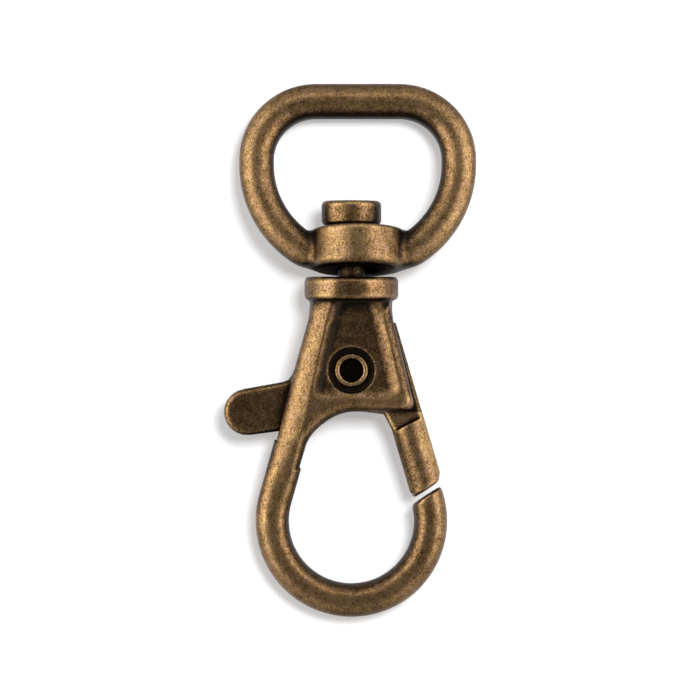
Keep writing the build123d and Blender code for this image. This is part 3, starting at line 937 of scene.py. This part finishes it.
# How bright the studio is, from the camera's side of the clasp (0) round to behind it (1).
AROUND_CAMERA = (
    (0.0, 0.4),
    (0.03, 0.45),
    (0.067, 0.6),
    (0.117, 0.85),
    (0.2, 1.0),
    (0.5, 0.92),
    (0.68, 0.55),
    (0.8, 0.9),
    (1.0, 1.2),
)
FROM_BELOW = 0.35
FROM_ABOVE = 0.1
FROM_SIDES = 0.75
FLOOR_Z = cad_bounds[0][2] - 0.008
# The wall leans back up to the boss, comes forward behind the eye and then goes straight up.
WALL_FOLDS = ((0.0012, FLOOR_Z), (0.00385, 0.0195), (0.0031, 0.030), (0.0031, STAGE_HALF))


def sheet(name, folds, material):
    """A wide sheet of the stage through these (y, z) folds, seen by the camera alone."""
    corners = [(side * STAGE_HALF, y, z) for y, z in folds for side in (-1, 1)]
    faces = [(2 * i, 2 * i + 1, 2 * i + 3, 2 * i + 2) for i in range(len(folds) - 1)]
    mesh = bpy.data.meshes.new(name)
    mesh.from_pydata(corners, [], faces)
    mesh.materials.append(material)
    obj = bpy.data.objects.new(name, mesh)
    obj.visible_diffuse = False
    obj.visible_glossy = False
    bpy.context.scene.collection.objects.link(obj)


def area_light(name, place, size, power, colour=(1, 1, 1), on_paper=False):
    """A soft rectangular light aimed at the clasp, which lights either the metal or the paper."""
    data = bpy.data.lights.new(name, "AREA")
    data.shape = "RECTANGLE"
    data.size, data.size_y = size
    data.energy = power
    data.color = colour
    lamp = bpy.data.objects.new(name, data)
    lamp.location = place
    lamp.rotation_euler = (LOOK_AT - Vector(place)).to_track_quat("-Z", "Y").to_euler()
    lamp.visible_diffuse = on_paper
    lamp.visible_glossy = not on_paper
    bpy.context.scene.collection.objects.link(lamp)


def studio_world():
    """Soft light from both sides, less from above and below, and dark about the camera."""
    n = Nodes(bpy.data.worlds.new("studio"))
    direction = n.add("ShaderNodeTexCoord").outputs["Generated"]
    axes = n.add("ShaderNodeSeparateXYZ", {0: direction}).outputs
    behind = n.math("MULTIPLY_ADD", axes["Y"], 0.5, 0.5)
    level = n.math("MULTIPLY_ADD", n.math("MAXIMUM", axes["Z"]), FROM_ABOVE, FROM_BELOW)
    level = n.math("MULTIPLY_ADD", n.math("ABSOLUTE", axes["X"]), FROM_SIDES, level)
    background = n.tree.nodes["Background"]
    n.set(background.inputs["Color"], n.ramp(behind, [(place, (grey,) * 3) for place, grey in AROUND_CAMERA]))
    n.set(background.inputs["Strength"], level)
    bpy.context.scene.world = n.owner


floor_folds = ((-STAGE_HALF, FLOOR_Z), (STAGE_HALF, FLOOR_Z))
sheet("floor", floor_folds, white_paper("floor_paper", glow=0.55))
sheet("wall", WALL_FOLDS, white_paper("wall_paper", glow=0.33, one_sided=True))
studio_world()
area_light("left_box", (-0.30, -0.17, 0.05), (0.35, 0.4), power=0.55, colour=(1, 0.95, 0.86))
area_light("right_box", (0.30, -0.17, 0.07), (0.35, 0.4), power=0.47, colour=(1, 0.92, 0.90))
area_light("top_box", (0.0, -0.26, 0.25), (0.5, 0.08), power=0.12)
area_light("key", (0.10, -0.5, 0.12), (0.12, 0.12), power=2.6, on_paper=True)

camera_data = bpy.data.cameras.new("camera")
camera_data.lens = LENS
camera_data.sensor_width = SENSOR
camera_data.clip_end = 10
camera = bpy.data.objects.new("camera", camera_data)
camera.location = LOOK_AT + Vector((0, -VIEW_WIDTH * LENS / SENSOR, 0))
camera.rotation_euler = (radians(90), 0, 0)
bpy.context.scene.collection.objects.link(camera)
bpy.context.scene.camera = camera
bpy.context.scene.view_settings.view_transform = "Standard"
